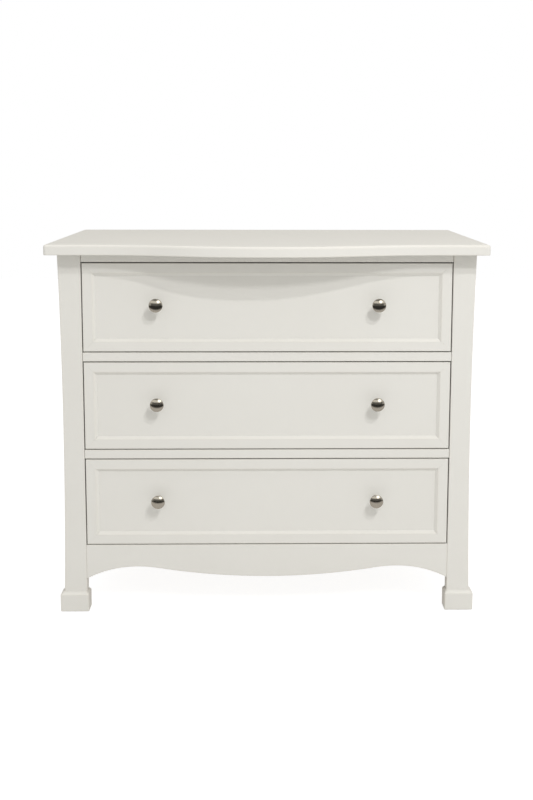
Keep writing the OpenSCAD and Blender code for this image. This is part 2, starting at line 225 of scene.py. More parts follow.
# %% Helpers for building node trees
def feed(tree, target, **sources):
    """Links sockets to the named inputs of a node; an underscore stands for a space."""
    for key, source in sources.items():
        tree.links.new(source, target.inputs[key.replace("_", " ")])


def node(tree, kind, where=(0, 0), **values):
    """A node with some of its properties or named inputs set; an input that is given a
    socket is linked to it."""
    made = tree.nodes.new(kind)
    made.location = where
    for key, value in values.items():
        if isinstance(value, bpy.types.NodeSocket):
            feed(tree, made, **{key: value})
        elif hasattr(made, key):
            setattr(made, key, value)
        else:
            made.inputs[key.replace("_", " ")].default_value = value
    return made


def new_group(name, inputs, outputs):
    """A shader group with (name, kind, default) inputs and (name, kind) outputs."""
    tree = bpy.data.node_groups.new(name, "ShaderNodeTree")
    for label, kind, default in inputs:
        socket = tree.interface.new_socket(label, in_out="INPUT", socket_type="NodeSocket" + kind)
        if default is not None:
            socket.default_value = default
    for label, kind in outputs:
        tree.interface.new_socket(label, in_out="OUTPUT", socket_type="NodeSocket" + kind)
    return tree, node(tree, "NodeGroupInput", (-900, 0)), node(tree, "NodeGroupOutput", (700, 0))


def noise(tree, vector, where, **values):
    """Smooth noise between 0 and 1, read at a vector."""
    return node(tree, "ShaderNodeTexNoise", where, Vector=vector, **values).outputs[0]


def ramp(tree, source, where, start=0.0, end=1.0, low=0.0, high=1.0):
    """A straight ramp from low to high as the source goes from start to end, held beyond."""
    made = node(tree, "ShaderNodeMapRange", where, Value=source,
                From_Min=start, From_Max=end, To_Min=low, To_Max=high)
    return made.outputs[0]


def math_node(tree, operation, a, b=None, where=(0, 0)):
    """A maths node; a and b are sockets or plain numbers."""
    made = node(tree, "ShaderNodeMath", where, operation=operation)
    for slot, value in enumerate((a, b)):
        if isinstance(value, (int, float)):
            made.inputs[slot].default_value = value
        elif value is not None:
            tree.links.new(value, made.inputs[slot])
    return made.outputs[0]


def blend_colour(tree, factor, first, second, where=(0, 0)):
    """Mixes two colours by a factor socket; first and second are sockets or colours."""
    made = node(tree, "ShaderNodeMix", where, data_type="RGBA")
    tree.links.new(factor, made.inputs["Factor"])
    for label, value in (("A", first), ("B", second)):
        socket = [s for s in made.inputs if s.name == label and s.type == "RGBA"][0]
        if isinstance(value, tuple):
            socket.default_value = (*value, 1.0)
        else:
            tree.links.new(value, socket)
    return [s for s in made.outputs if s.type == "RGBA"][0]


def mix_shaders(tree, factor, first, second, where):
    """The first shader where the factor is 0, and the second where it is 1."""
    made = node(tree, "ShaderNodeMixShader", where)
    for slot, source in enumerate((factor, first, second)):
        tree.links.new(source, made.inputs[slot])
    return made.outputs[0]


# %% Group: sprayed paint film
def paint_film():
    """Orange peel is a fine noise of about 2 mm; under it lies a slow wave where the board was
    sanded by hand. The cloud is the slight change of shade across a large sprayed face, and
    the speck mask is dust caught in the film."""
    tree, source, sink = new_group(
        "paint_film", [("Vector", "Vector", None), ("Peel Scale", "Float", 420.0)],
        [("Height", "Float"), ("Cloud", "Float"), ("Speck", "Float")])
    vector = source.outputs["Vector"]
    peel = noise(tree, vector, (-600, 200),
                 Scale=source.outputs["Peel Scale"], Detail=2.0, Roughness=0.45)
    wave = noise(tree, vector, (-600, 0), Scale=38.0, Detail=1.0)
    cloud = noise(tree, vector, (-600, -200), Scale=5.0, Detail=3.0, Roughness=0.6)
    speck = noise(tree, vector, (-600, -400), Scale=900.0, Detail=1.0)
    slow = math_node(tree, "MULTIPLY", wave, 2.2, (-350, 0))
    height = math_node(tree, "ADD", peel, slow, (-150, 100))
    rare = ramp(tree, speck, (-150, -400), 0.70, 0.78)
    feed(tree, sink, Height=height, Cloud=cloud, Speck=rare)
    return tree


PAINT_FILM = paint_film()


# %% Group: wood grain
def wood_grain():
    """Grain along the vector's X: year rings are a wave across it, bent by a noise stretched
    fourteen times along the grain; pores are short dark strokes, a fine noise stretched
    nearly forty times."""
    tree, source, sink = new_group(
        "wood_grain", [("Vector", "Vector", None), ("Ring Scale", "Float", 60.0)],
        [("Rings", "Float"), ("Pores", "Float"), ("Shade", "Float")])
    vector = source.outputs["Vector"]
    stretch = node(tree, "ShaderNodeMapping", (-700, 100), Vector=vector, Scale=(1.0, 14.0, 14.0))
    bend = noise(tree, stretch.outputs[0], (-500, 100), Scale=1.6, Detail=3.0, Roughness=0.55)
    rings = math_node(tree, "MULTIPLY", bend, source.outputs["Ring Scale"], (-300, 100))
    wave = math_node(tree, "SINE", rings, None, (-100, 100))
    level = ramp(tree, wave, (100, 100), -1.0, 1.0)
    fine = node(tree, "ShaderNodeMapping", (-700, -200), Vector=vector, Scale=(18.0, 700.0, 700.0))
    pores = noise(tree, fine.outputs[0], (-500, -200), Scale=1.0, Detail=2.0)
    dark = ramp(tree, pores, (-300, -200), 0.52, 0.72)
    shade = noise(tree, vector, (-500, -450), Scale=4.0, Detail=2.0)
    feed(tree, sink, Rings=level, Pores=dark, Shade=shade)
    return tree


WOOD_GRAIN = wood_grain()


# %% Group: scuffs on metal
def metal_scuffs():
    """Two crossed sets of hair-fine strokes, each a noise stretched a hundred times along its
    own direction, and a cloud of handling marks."""
    tree, source, sink = new_group(
        "metal_scuffs", [("Vector", "Vector", None), ("Fineness", "Float", 1.0)],
        [("Strokes", "Float"), ("Marks", "Float")])
    vector = source.outputs["Vector"]
    total = None
    for turn, where in ((0.35, 200), (-0.9, -50)):
        stretch = node(tree, "ShaderNodeMapping", (-700, where), Vector=vector,
                       Rotation=(turn, turn * 0.7, turn), Scale=(40.0, 4000.0, 4000.0))
        strokes = noise(tree, stretch.outputs[0], (-500, where),
                        Scale=source.outputs["Fineness"], Detail=1.0)
        part = math_node(tree, "MULTIPLY", strokes, 0.5, (-300, where))
        total = part if total is None else math_node(tree, "ADD", total, part, (-100, where))
    marks = noise(tree, vector, (-500, -350), Scale=160.0, Detail=4.0, Roughness=0.65)
    feed(tree, sink, Strokes=total, Marks=marks)
    return tree


METAL_SCUFFS = metal_scuffs()
print("node groups:", [g.name for g in bpy.data.node_groups])

# %% [markdown]
# ## The materials
# Satin off-white lacquer over primed wood for the joinery, satin nickel for the knobs, plain
# grain under clear lacquer for the drawer boxes, hardboard for the back, bright zinc for the
# slides and moulded nylon for the glides.


# %% Start of a material
def new_material(name, roughness, metallic=0.0):
    """An empty material with a Principled shader and object coordinates."""
    material = bpy.data.materials.new(name)
    material.use_nodes = True
    tree = material.node_tree
    shader = tree.nodes["Principled BSDF"]
    shader.inputs["Roughness"].default_value = roughness
    shader.inputs["Metallic"].default_value = metallic
    coordinates = node(tree, "ShaderNodeTexCoord", (-1200, 0)).outputs["Object"]
    return material, tree, shader, coordinates


def add_bump(tree, shader, height, distance):
    """Turns a height into a normal; distance is the real height of a full step, in metres."""
    bump = node(tree, "ShaderNodeBump", (-250, -400), Height=height, Strength=1.0, Distance=distance)
    feed(tree, shader, Normal=bump.outputs[0])


# %% Satin white paint
COOL_WHITE = (0.800, 0.792, 0.758)
WARM_WHITE = (0.770, 0.758, 0.718)
PRIMER = (0.74, 0.70, 0.62)
DUST = (0.60, 0.57, 0.52)


def satin_paint():
    """The film's cloud moves the white slightly between a cooler and a warmer shade; where the
    arris attribute is high the film is thin, so the warm primer tints it in patches."""
    material, tree, shader, place = new_material("satin_paint", 0.38)
    film = node(tree, "ShaderNodeGroup", (-900, 0), node_tree=PAINT_FILM, Vector=place)
    cloud = film.outputs["Cloud"]
    white = blend_colour(tree, cloud, COOL_WHITE, WARM_WHITE, (-650, 200))
    arris = node(tree, "ShaderNodeAttribute", (-900, -300), attribute_name="arris")
    patchy = math_node(tree, "MULTIPLY", arris.outputs["Fac"], cloud, (-700, -300))
    thin = math_node(tree, "MULTIPLY", patchy, 0.30, (-550, -300))
    worn = blend_colour(tree, thin, white, PRIMER, (-450, 200))
    dust = math_node(tree, "MULTIPLY", film.outputs["Speck"], 0.10, (-550, -100))
    final = blend_colour(tree, dust, worn, DUST, (-250, 200))
    rough = ramp(tree, cloud, (-450, -150), low=0.34, high=0.44)
    feed(tree, shader, Base_Color=final, Roughness=rough)
    add_bump(tree, shader, film.outputs["Height"], 0.035 * MM)
    return material


# %% Satin nickel
NICKEL_CLEAN = (0.62, 0.60, 0.56)
NICKEL_HANDLED = (0.53, 0.50, 0.45)


def satin_nickel():
    """Nearly mirror-bright nickel, with hair-fine scuffs that roughen it and a faint warm cast
    where it has been handled."""
    material, tree, shader, place = new_material("satin_nickel", 0.16, 1.0)
    scuffs = node(tree, "ShaderNodeGroup", (-900, 0), node_tree=METAL_SCUFFS,
                  Vector=place, Fineness=1.0)
    colour = blend_colour(tree, scuffs.outputs["Marks"], NICKEL_CLEAN, NICKEL_HANDLED, (-500, 200))
    rough = ramp(tree, scuffs.outputs["Strokes"], (-500, -100), 0.3, 0.7, 0.10, 0.20)
    feed(tree, shader, Base_Color=colour, Roughness=rough)
    add_bump(tree, shader, scuffs.outputs["Strokes"], 0.0015 * MM)
    return material


# %% Wood under clear lacquer
GRAIN_TURNS = {"X": (0, 0, 0), "Y": (0, 0, math.pi / 2), "Z": (0, math.pi / 2, 0)}


def lacquered_wood(name, light, dark, grain_axis, ring_scale=60.0, roughness=0.42):
    """Planed wood whose grain runs along the given axis: the coordinates are turned so that
    the axis becomes the group's X."""
    material, tree, shader, place = new_material(name, roughness)
    turn = node(tree, "ShaderNodeMapping", (-1050, 0), Vector=place,
                Rotation=GRAIN_TURNS[grain_axis])
    grain = node(tree, "ShaderNodeGroup", (-850, 0), node_tree=WOOD_GRAIN,
                 Vector=turn.outputs[0], Ring_Scale=ring_scale)
    ringed = blend_colour(tree, grain.outputs["Rings"], light, dark, (-550, 200))
    pore_share = math_node(tree, "MULTIPLY", grain.outputs["Pores"], 0.35, (-600, -50))
    pored = blend_colour(tree, pore_share, ringed, tuple(0.6 * v for v in dark), (-350, 200))
    shade_share = math_node(tree, "MULTIPLY", grain.outputs["Shade"], 0.25, (-600, -200))
    final = blend_colour(tree, shade_share, pored, dark, (-150, 200))
    rough = ramp(tree, grain.outputs["Pores"], (-350, -150),
                 low=roughness - 0.05, high=roughness + 0.12)
    feed(tree, shader, Base_Color=final, Roughness=rough)
    add_bump(tree, shader, grain.outputs["Pores"], -0.05 * MM)
    return material


# %% Hardboard, zinc plate and nylon
LIGHT_FIBRE = (0.30, 0.20, 0.12)
DARK_FIBRE = (0.16, 0.10, 0.06)
BOARD_STAIN = (0.24, 0.17, 0.11)
BRIGHT_ZINC = (0.60, 0.61, 0.63)
DULL_ZINC = (0.48, 0.49, 0.52)
SPANGLE = (0.72, 0.73, 0.74)
NYLON_TONES = ((0.76, 0.75, 0.71), (0.68, 0.67, 0.63))


def hardboard():
    """Pressed wood fibre: short dark and light fibres in every direction on a smooth face."""
    material, tree, shader, place = new_material("hardboard", 0.55)
    fibre = noise(tree, place, (-800, 100), Scale=300.0, Detail=6.0, Roughness=0.75, Distortion=1.5)
    cloud = noise(tree, place, (-800, -150), Scale=8.0, Detail=3.0)
    base = blend_colour(tree, fibre, LIGHT_FIBRE, DARK_FIBRE, (-500, 200))
    share = math_node(tree, "MULTIPLY", cloud, 0.4, (-500, -150))
    final = blend_colour(tree, share, base, BOARD_STAIN, (-250, 200))
    rough = ramp(tree, fibre, (-450, -300), low=0.48, high=0.66)
    feed(tree, shader, Base_Color=final, Roughness=rough)
    add_bump(tree, shader, fibre, 0.05 * MM)
    return material


def zinc_plate():
    """Rolled steel with a bright zinc coat: a blue-grey spangle, rolling strokes and the
    odd duller patch."""
    material, tree, shader, place = new_material("zinc_plate", 0.32, 1.0)
    scuffs = node(tree, "ShaderNodeGroup", (-900, 0), node_tree=METAL_SCUFFS,
                  Vector=place, Fineness=0.35)
    spangle = node(tree, "ShaderNodeTexVoronoi", (-900, -250), Vector=place, Scale=220.0)
    grey = blend_colour(tree, scuffs.outputs["Marks"], BRIGHT_ZINC, DULL_ZINC, (-500, 200))
    flake = math_node(tree, "MULTIPLY", spangle.outputs["Distance"], 0.25, (-650, -250))
    final = blend_colour(tree, flake, grey, SPANGLE, (-250, 200))
    rough = ramp(tree, scuffs.outputs["Marks"], (-450, -150), low=0.26, high=0.44)
    feed(tree, shader, Base_Color=final, Roughness=rough)
    add_bump(tree, shader, scuffs.outputs["Strokes"], 0.004 * MM)
    return material


def moulded_nylon():
    """Off-white nylon with the fine spark-eroded texture of its mould."""
    material, tree, shader, place = new_material("moulded_nylon", 0.5)
    texture = noise(tree, place, (-800, 0), Scale=1400.0, Detail=3.0)
    feed(tree, shader, Base_Color=blend_colour(tree, texture, *NYLON_TONES, (-450, 200)))
    shader.inputs["Subsurface Weight"].default_value = 0.05
    add_bump(tree, shader, texture, 0.02 * MM)
    return material


PAINT = satin_paint()
NICKEL = satin_nickel()
# The wood between its year rings, and the rings
DRAWER_TONES = ((0.66, 0.50, 0.32), (0.52, 0.36, 0.21))
BOTTOM_TONES = ((0.70, 0.56, 0.38), (0.60, 0.45, 0.28))
PLAIN_TONES = ((0.60, 0.44, 0.27), (0.47, 0.31, 0.17))
BOX_SIDE_WOOD = lacquered_wood("drawer_side_wood", *DRAWER_TONES, "Y")
BOX_END_WOOD = lacquered_wood("drawer_end_wood", *DRAWER_TONES, "X")
BOTTOM_WOOD = lacquered_wood("drawer_bottom_wood", *BOTTOM_TONES, "X", 26.0)
RAIL_WOOD = lacquered_wood("plain_rail_wood", *PLAIN_TONES, "X", 80.0, 0.6)
POST_WOOD = lacquered_wood("plain_block_wood", *PLAIN_TONES, "Z", 80.0, 0.6)
BATTEN_WOOD = lacquered_wood("batten_wood", *PLAIN_TONES, "Y", 80.0, 0.6)
HARDBOARD = hardboard()
ZINC = zinc_plate()
NYLON = moulded_nylon()
print("materials made:", len(bpy.data.materials))

# %% [markdown]
# ## Finishes on the parts that keep their shape
# Boxes, slides, dowels, screws, glides and the back are right as the model gives them. Their
# material slots are simply filled.


# %% Fill the slots of the kept nodes
def finish_node(name, material):
    """Gives a node of the model one material and no other."""
    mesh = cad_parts[name].data
    mesh.materials.clear()
    mesh.materials.append(material)


kept_finishes = {
    "floor_glides": NYLON, "rear_top_rail": RAIL_WOOD, "rear_bottom_rail": RAIL_WOOD,
    "back_panel": HARDBOARD, "corner_blocks": POST_WOOD, "slide_battens": BATTEN_WOOD,
    "slide_outer_members": ZINC, "top_screws": ZINC, "rail_dowels": RAIL_WOOD}
drawer_finishes = {
    "front_panel": PAINT, "box_sides": BOX_SIDE_WOOD, "box_front": BOX_END_WOOD,
    "box_back": BOX_END_WOOD, "box_bottom": BOTTOM_WOOD, "knob_screws": ZINC,
    "slide_inner_members": ZINC, "slide_middle_members": ZINC}
for row in ROWS:
    kept_finishes.update({f"{row}_{part}": finish for part, finish in drawer_finishes.items()})
for name, finish in kept_finishes.items():
    finish_node(name, finish)
print("kept nodes with a finish:", len(kept_finishes))


# %% A painted piece that stands for a node
def stands_for(piece, body, slot, *nodes):
    """Makes the piece ride on its body and hide the nodes that it replaces. The slot argument is not
    used.
    """
    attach(piece, body)
    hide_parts(*nodes)
    return piece


# %% [markdown]
# ## The top
# The top is one thick board, cut to a bow in front: an outward arc in the middle, a hollow arc
# on either side that runs out level, and short straight ends. Its upper arris is rounded over
# with a cutter of nearly 6 mm and the lower one only eased. The rim is a profile carried along
# the outline, moving inwards along the outline's own normals, and flat faces close it above
# and below.

# %% Outline of the top, from the frame's own sizes
top_low, top_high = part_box("top_panel")
BOW_DEPTH = 51 * MM
BOW_RADIUS = 800 * MM
BOW_TURN_X = 214 * MM
CORNER_RADIUS = 7.0 * MM
ROUND_OVER = 5.8 * MM
LOWER_EASE = 1.8 * MM
FLAT_INSET = 6.7 * MM      # where the flat faces start: short of the corners' own centres


def arc(centre, radius, start, end, steps):
    """Points on a circle about centre, from angle start to angle end in radians."""
    angle = np.linspace(start, end, steps)
    return np.stack([centre[0] + radius * np.cos(angle), centre[1] + radius * np.sin(angle)], -1)


def top_outline():
    """Closed outline, anticlockwise from the bow's crest to the right: bow arc, hollow arc,
    straight end, a small arc at each corner, the back, and the mirror image."""
    turn = math.asin(BOW_TURN_X / BOW_RADIUS)
    hollow = (BOW_DEPTH - BOW_RADIUS * (1 - math.cos(turn))) / (1 - math.cos(turn))
    end_y = top_low.y + BOW_DEPTH
    hollow_x = BOW_TURN_X + hollow * math.sin(turn)
    r = CORNER_RADIUS
    right = [
        arc((0, top_low.y + BOW_RADIUS), BOW_RADIUS, -math.pi / 2, -math.pi / 2 + turn, 40),
        arc((hollow_x, end_y - hollow), hollow, math.pi / 2 + turn, math.pi / 2, 40)[1:],
        np.array([[top_high.x - r - BESIDE, end_y]]),
        arc((top_high.x - r, end_y + r), r, -math.pi / 2, 0, 9),
        np.array([[top_high.x, end_y + r + BESIDE], [top_high.x, top_high.y - r - BESIDE]]),
        arc((top_high.x - r, top_high.y - r), r, 0, math.pi / 2, 9),
        np.array([[top_high.x - r - BESIDE, top_high.y]])]
    right = np.concatenate(right)
    left = right[::-1] * (-1, 1)
    return np.concatenate([right, left[:-1]])


def inward_normals(outline):
    """Unit normals that point to the left of the direction of travel, from the two
    neighbours of each point; on an anticlockwise outline that is inwards."""
    along = np.roll(outline, -1, 0) - np.roll(outline, 1, 0)
    along /= np.linalg.norm(along, axis=1, keepdims=True)
    return np.stack([-along[:, 1], along[:, 0]], -1)


def rim_profile(thickness, upper, lower):
    """(inset, height, arris) from the middle of the lower face, round the rim, to the middle
    of the upper face: a quarter circle of each radius, with flats between."""
    t = np.linspace(0, math.pi / 2, 7)
    low = [(lower * (1 - math.sin(a)), lower * (1 - math.cos(a)), 1.0) for a in t]
    high = [(upper * (1 - math.cos(a)), thickness - upper * (1 - math.sin(a)), 1.0) for a in t]
    return np.array(
        [(FLAT_INSET, 0, 0.0)] + low
        + [(0, lower + BESIDE, 0.0), (0, thickness - upper - BESIDE, 0.0)] + high
        + [(FLAT_INSET, thickness, 0.0)])


def top_stack():
    """The rim's profile at every point of the outline: each ring is the outline moved inwards
    by one inset and set at one height."""
    outline = top_outline()
    normals = inward_normals(outline)
    profile = rim_profile(top_high.z - top_low.z, ROUND_OVER, LOWER_EASE)
    flat = outline[None] + normals[None] * profile[:, 0][:, None, None]
    height = np.broadcast_to(top_low.z + profile[:, 1][:, None], flat.shape[:2])
    arris = np.broadcast_to(profile[:, 2][:, None], flat.shape[:2])
    return np.concatenate([flat, height[..., None]], -1), arris


top = mesh_piece("painted_top", [top_stack()], PAINT)
stands_for(top, "case", "painted_wood", "top_panel")
print("top:", len(top.data.vertices), "points in its rings")

# %% [markdown]
# ## Posts, feet and rails
# The posts are boards whose outer edge is hollowed in one long arc. Only the points on that
# side of the board move, so the eased arrises keep their size. A rear post has a rebate for
# the back panel, so it is laid up from three boards that run into one another. The block feet
# are a stack of rounded sections that goes straight up and then slopes in to the post.

# %% Posts
POST_HOLLOW = 5.5 * MM
POST_EASE = 1.5 * MM
REAR_EASE = 0.8 * MM
POST_SUNK = 4 * MM         # how far a front post reaches down into its foot
REBATE = 10.3 * MM         # width of the rebate for the back panel
OVERLAP = 1 * MM           # how far the boards of a rear post run into one another
SHY = 0.3 * MM             # how far the inner boards stand back, so that no faces coincide
PANEL_GAP = 0.2 * MM
STATIONS = 40              # rings along a post, enough for a smooth hollow


def hollow_edge(points, side, low, high, depth):
    """Moves the outer half of a post inwards by depth * (1 - s^2), where s runs from -1 at
    its foot to 1 at its head: the parabola that a long shallow arc follows."""
    bent = points.copy()
    s = (points[..., 2] - low.z) / (high.z - low.z) * 2 - 1
    outer = (points[..., 0] - (low.x + high.x) / 2) * side > 0
    bent[..., 0] -= side * depth * np.clip(1 - s * s, 0, 1) * outer
    return bent


def rear_post_stacks(low, high, sign):
    """A rear post in three boards: the outer one at full depth, and on its inner side one that
    stops short to let the back panel in, and below the panel one at full depth again."""
    panel_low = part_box("back_panel")[0]
    inner, outer = sorted((low.x, high.x), key=abs)
    split = inner + sign * REBATE
    lap = split + sign * OVERLAP
    panel_foot = panel_low.z - SHY
    spans = (
        ((split, low.y, low.z), (outer, high.y, high.z)),
        ((inner, low.y + SHY, panel_foot), (lap, panel_low.y - PANEL_GAP, high.z)),
        ((inner, low.y + SHY, low.z), (lap, high.y - SHY, panel_foot)))
    for start, end in spans:
        corners = np.minimum(start, end), np.maximum(start, end)
        points, arris = board(*corners, REAR_EASE, 2, STATIONS)
        yield hollow_edge(points, sign, low, high, POST_HOLLOW), arris


def front_post_stacks(low, high, sign):
    """A front post in one board, whose lower end is hidden inside the foot block."""
    points, arris = board(low - Vector((0, 0, POST_SUNK)), high, POST_EASE, 2, STATIONS)
    yield hollow_edge(points, sign, low, high, POST_HOLLOW), arris


for side, sign in SIDES.items():
    for place, post_stacks in (("front", front_post_stacks), ("rear", rear_post_stacks)):
        low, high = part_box(f"{place}_post_{side}")
        post = mesh_piece(f"painted_{place}_post_{side}", list(post_stacks(low, high, sign)), PAINT)
        stands_for(post, "case", "painted_wood", f"{place}_post_{side}")
print("post height", round(high.z - low.z, 4))


# %% Block feet
FOOT_CORNER = 2.5 * MM
FOOT_EASE = 2 * MM
SHOULDER_HEIGHT = 6 * MM
# The softened break: (height above the shoulder, share of the way in to the post, arris)
SHOULDER_BREAK = ((-1.2 * MM, 0.0, 1.0), (-0.3 * MM, 0.03, 1.0),
                  (0.6 * MM, 0.12, 1.0), (1.8 * MM, 0.30, 0.0))


def foot_stack(foot, post):
    """Rounded sections from the floor up: eased in at the bottom, straight to the shoulder,
    then sloping to the post's own outline, with the break in the slope softened. A level is
    its height, its inset, its share of the way from the foot's outline to the post's, and
    its arris."""
    (f_low, f_high), (p_low, p_high) = foot, post
    f_low, f_high = np.array(f_low), np.array(f_high)
    p_low = np.maximum(np.array(p_low), f_low)
    p_high = np.minimum(np.array(p_high), f_high)
    base, head = f_low[2], f_high[2]
    shoulder = head - SHOULDER_HEIGHT
    levels = [(base, FOOT_EASE + BESIDE, 0.0, 0.0)]
    levels += [(base + FOOT_EASE * (1 - math.cos(a)), FOOT_EASE * (1 - math.sin(a)), 0.0, 1.0)
               for a in np.linspace(0, math.pi / 2, 5)]
    levels += [(base + FOOT_EASE + BESIDE, 0.0, 0.0, 0.0), (shoulder - BESIDE, 0.0, 0.0, 0.0)]
    levels += [(shoulder + rise, 0.0, slope, edge) for rise, slope, edge in SHOULDER_BREAK]
    levels += [(head, 0.0, 1.0, 0.0)]
    points, arris = [], []
    for z, inset, slope, edge in levels:
        low = f_low + (p_low - f_low) * slope
        high = f_high + (p_high - f_high) * slope
        outline, mark = section((high[0] - low[0]) / 2, (high[1] - low[1]) / 2, FOOT_CORNER, inset)
        ring = np.empty((len(outline), 3))
        ring[:, :2] = outline + (low[:2] + high[:2]) / 2
        ring[:, 2] = z
        points.append(ring)
        arris.append(np.maximum(mark * (inset < FOOT_CORNER), edge))
    return np.array(points), np.array(arris)


for side in SIDES:
    for place in ("front", "rear"):
        stack = foot_stack(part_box(f"{place}_foot_{side}"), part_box(f"{place}_post_{side}"))
        foot = mesh_piece(f"painted_{place}_foot_{side}", [stack], PAINT)
        stands_for(foot, "case", "painted_wood", f"{place}_foot_{side}")
print("foot:", len(foot.data.vertices), "points")

# %% Rails between the posts
RAIL_EASE = 1.3 * MM
JOINT = Vector((0.7 * MM, 0, 0))        # the open line at each end, where the paint has split
for name in ("top_rail", "upper_middle_rail", "lower_middle_rail"):
    low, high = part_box(name)
    rail = mesh_piece(f"painted_{name}", [board(low + JOINT, high - JOINT, RAIL_EASE)], PAINT)
    stands_for(rail, "case", "painted_wood", name)

# %% [markdown]
# ## The apron and the side panels
# Both are boards with a shaped lower edge. The board is made straight, with many stations
# along it, and then the lower half of every ring is lifted to the curve.

# %% Apron
APRON_MIDDLE_RADIUS = 1550 * MM
APRON_TURN_X = 248 * MM
APRON_PEAK_RADIUS = 317 * MM
APRON_END_RADIUS = 245 * MM
APRON_LOW = 81.6 * MM


def apron_edge(x):
    """Height of the lower edge at distance x from the middle: a wide arc that dips in the
    middle, a tighter arc over the peak, and a last arc that falls to the post."""
    x = np.abs(x)
    turn = math.asin(APRON_TURN_X / APRON_MIDDLE_RADIUS)
    peak_x = APRON_TURN_X + APRON_PEAK_RADIUS * math.sin(turn)
    peak_z = APRON_LOW + (APRON_MIDDLE_RADIUS + APRON_PEAK_RADIUS) * (1 - math.cos(turn))
    reach = np.minimum(x, APRON_TURN_X)
    middle = APRON_LOW + APRON_MIDDLE_RADIUS - np.sqrt(APRON_MIDDLE_RADIUS**2 - reach**2)
    radius = np.where(x < peak_x, APRON_PEAK_RADIUS, APRON_END_RADIUS)
    outer = peak_z - radius + np.sqrt(radius**2 - (x - peak_x)**2)
    return np.where(x < APRON_TURN_X, middle, outer)


def lift_lower_half(points, edge, low_z, high_z):
    """Adds to every point below mid-height the distance from the straight lower edge to the
    curved one; the upper half stays."""
    bent = points.copy()
    lower = points[..., 2] < (low_z + high_z) / 2
    bent[..., 2] += (edge - low_z) * lower
    return bent


low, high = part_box("apron")
points, arris = board(low, high, RAIL_EASE, stations=160)
apron_points = lift_lower_half(points, apron_edge(points[..., 0]), low.z, high.z)
apron = mesh_piece("painted_apron", [(apron_points, arris)], PAINT)
stands_for(apron, "case", "painted_wood", "apron")
print("apron from", round(low.z, 4), "to", round(high.z, 4))

# %% Side panels
SIDE_EDGE_Z = 82 * MM
SIDE_ARCH_RISE = 24 * MM
SIDE_EASE = 1.0 * MM


def side_edge(y, y0, y1):
    """Height of the arched lower edge: the arc through both ends and the middle."""
    half = (y1 - y0) / 2
    radius = (half**2 + SIDE_ARCH_RISE**2) / (2 * SIDE_ARCH_RISE)
    reach = np.clip(y - (y0 + y1) / 2, -half, half)
    return SIDE_EDGE_Z + SIDE_ARCH_RISE - radius + np.sqrt(radius**2 - reach**2)


for side in SIDES:
    low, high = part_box(f"side_panel_{side}")
    points, arris = board(low, high, SIDE_EASE, along=1, stations=60)
    curved = lift_lower_half(points, side_edge(points[..., 1], low.y, high.y), low.z, high.z)
    panel = mesh_piece(f"painted_side_panel_{side}", [(curved, arris)], PAINT)
    stands_for(panel, "case", "painted_wood", f"side_panel_{side}")
print("side panel", [round(v, 3) for v in high - low])

# %% [markdown]
# ## The mitred frames
# Each drawer front is a field in a frame of four moulded members, cut at 45 degrees where they
# meet. The moulding is flat, then slopes down to the field. A member is its profile carried
# from mitre to mitre: because a mitre is a plane, a profile point that lies further in simply
# stops sooner, by its own distance from the outer edge. A hair's breadth of easing at the cut
# leaves the fine line that shows through the paint.

# %% Profile of the moulding
X, Y, Z = np.eye(3)
FRAME_FLAT = 22 * MM
FRAME_SLOPE = 6.5 * MM
FRAME_RECESS = 5.5 * MM
PANEL_LAP = 10 * MM
FRAME_EASE = 1.2 * MM      # on the outer arris
BREAK_RADIUS = 0.8 * MM    # between the flat and the slope
TOE = (0.12 * MM, 0.10 * MM)   # width and depth of the step where the slope meets the field
MITRE_EASE = 0.18 * MM


def moulding_profile(thickness):
    """(distance in from the outer edge, depth behind the face, arris): an eased outer arris,
    the flat, a softened break, the slope, then the rebate for the field behind. The slope
    ends in a toe so narrow that the rebate behind it doesn't change how the slope shades."""
    slope = math.atan2(FRAME_RECESS, FRAME_SLOPE)
    outer = [(FRAME_EASE * (1 - math.cos(a)), FRAME_EASE * (1 - math.sin(a)), 1.0)
             for a in np.linspace(0, math.pi / 2, 6)]
    reach = BREAK_RADIUS * math.tan(slope / 2)
    bend = [(FRAME_FLAT - reach + BREAK_RADIUS * math.sin(a), BREAK_RADIUS * (1 - math.cos(a)), 1.0)
            for a in np.linspace(0, slope, 4)]
    inner = FRAME_FLAT + FRAME_SLOPE
    lap = inner - PANEL_LAP
    flat = [(FRAME_EASE + BESIDE, 0, 0.0), (FRAME_FLAT - reach - BESIDE, 0, 0.0)]
    toe = [(inner - TOE[0], FRAME_RECESS - TOE[1], 0.0), (inner, FRAME_RECESS, 0.0)]
    rebate = [(lap, FRAME_RECESS, 0.0), (lap, thickness, 0.0), (0, thickness, 0.0)]
    return np.array([(0, FRAME_EASE + BESIDE, 0.0)] + outer + flat + bend + toe + rebate)


def member_stack(profile, length, corner, run, inward):
    """One member: corner is where its outer edge starts, run is the unit vector along it and
    inward points to the field. The depth behind the face runs along Y."""
    inset, depth, mark = profile[:, 0], profile[:, 1], profile[:, 2]
    core = np.array([inset.mean(), depth.mean()])
    points, arris = [], []
    for end, shrink in ((0, 1), (0, 0), (1, 0), (1, 1)):
        shift = MITRE_EASE * shrink * np.sign(np.stack([inset, depth], -1) - core)
        u, v = inset - shift[:, 0], depth - shift[:, 1]
        step = MITRE_EASE * (1 - shrink)
        along = inset + step if end == 0 else length - inset - step
        points.append(corner + along[:, None] * run + u[:, None] * inward + v[:, None] * Y)
        arris.append(mark)
    return np.array(points), np.array(arris)


